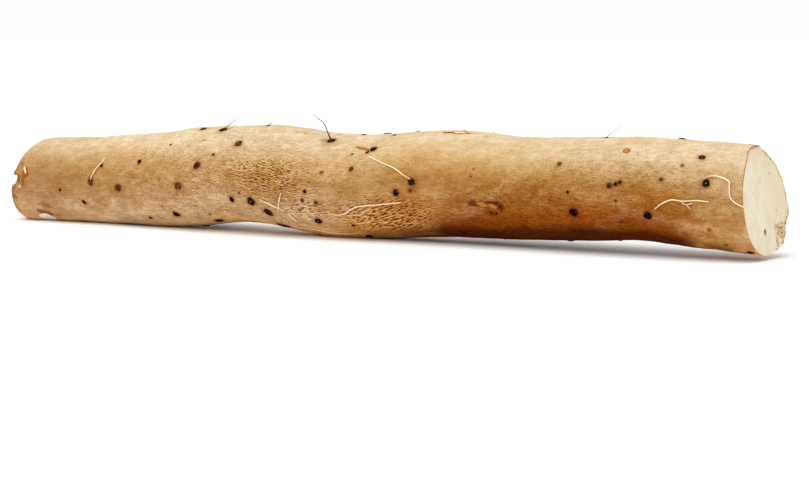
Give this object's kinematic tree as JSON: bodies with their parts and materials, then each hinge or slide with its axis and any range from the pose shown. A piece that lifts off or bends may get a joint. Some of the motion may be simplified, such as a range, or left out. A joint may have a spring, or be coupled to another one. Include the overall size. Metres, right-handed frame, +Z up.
{
  "type": "yam",
  "caption": "Length of Chinese yam lying on its side: one long, slightly wavy tuber with a blunt natural tip at one end and a knife cut at the other.",
  "frame": {"origin": "on the surface that the tuber lies on, under the middle of its bounding box", "axes": "+X along the tuber from its natural tip to its cut end, +Z up"},
  "size_m": [0.4556, 0.061, 0.0562],
  "materials": {
    "skin": "matt, thin corky plant skin, tan to golden brown"
  },
  "bodies": {
    "root": {"tuber": "skin"}
  },
  "joints": []
}
